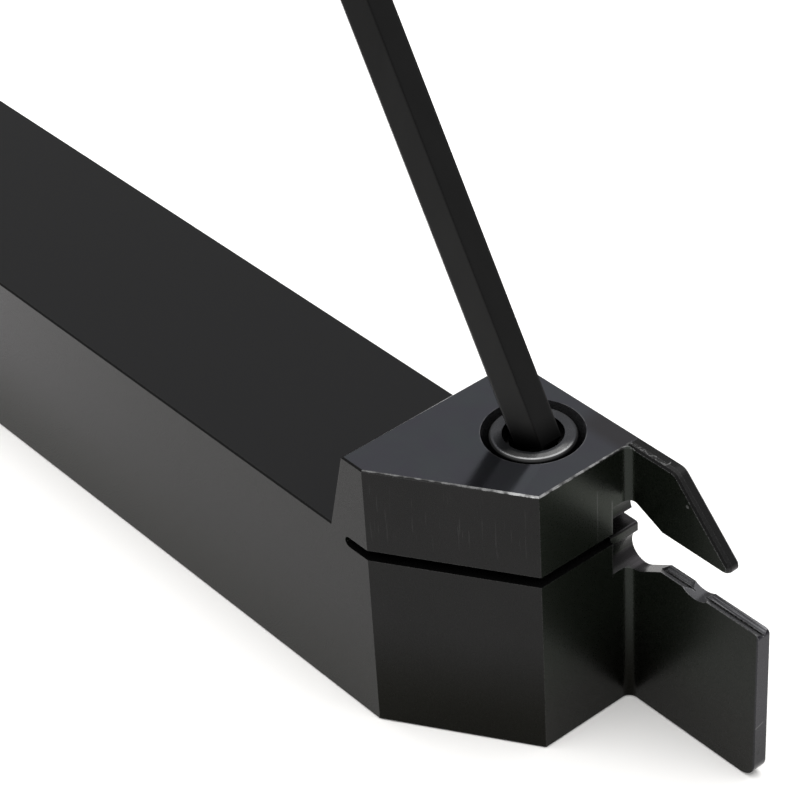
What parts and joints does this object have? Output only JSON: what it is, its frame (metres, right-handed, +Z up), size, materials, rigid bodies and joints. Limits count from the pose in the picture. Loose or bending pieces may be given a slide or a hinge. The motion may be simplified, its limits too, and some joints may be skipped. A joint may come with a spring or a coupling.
{
  "type": "turning tool holder",
  "caption": "Square-shank lathe holder for parting inserts: raised head split by a clamping slot, thin blade with a V seat, socket-head clamp screw and the hex key standing in it.",
  "frame": {"origin": "middle of the shank's base face: halfway between the shank's back end and the step where the head begins, on the centre line of its width", "axes": "+X along the shank towards the cutting tip, +Y towards the side that the blade is flush with, +Z up from the shank's base to its top"},
  "size_m": [0.15, 0.025, 0.1012],
  "materials": {
    "holder_steel": "black oxide, satin",
    "screw_steel": "black oxide, satin",
    "key_steel": "black oxide, smooth satin"
  },
  "bodies": {
    "holder": {"holder_body": "holder_steel"},
    "clamp_screw": {"clamp_screw": "screw_steel", "hex_key": "key_steel"}
  },
  "joints": [
    {"name": "clamp_screw_turn", "type": "hinge", "parent": "holder", "child": "clamp_screw", "pos_m": [0.0678, 0.0051, 0.0293], "axis": [0, 0, 1], "range_deg": [0, 270]}
  ]
}
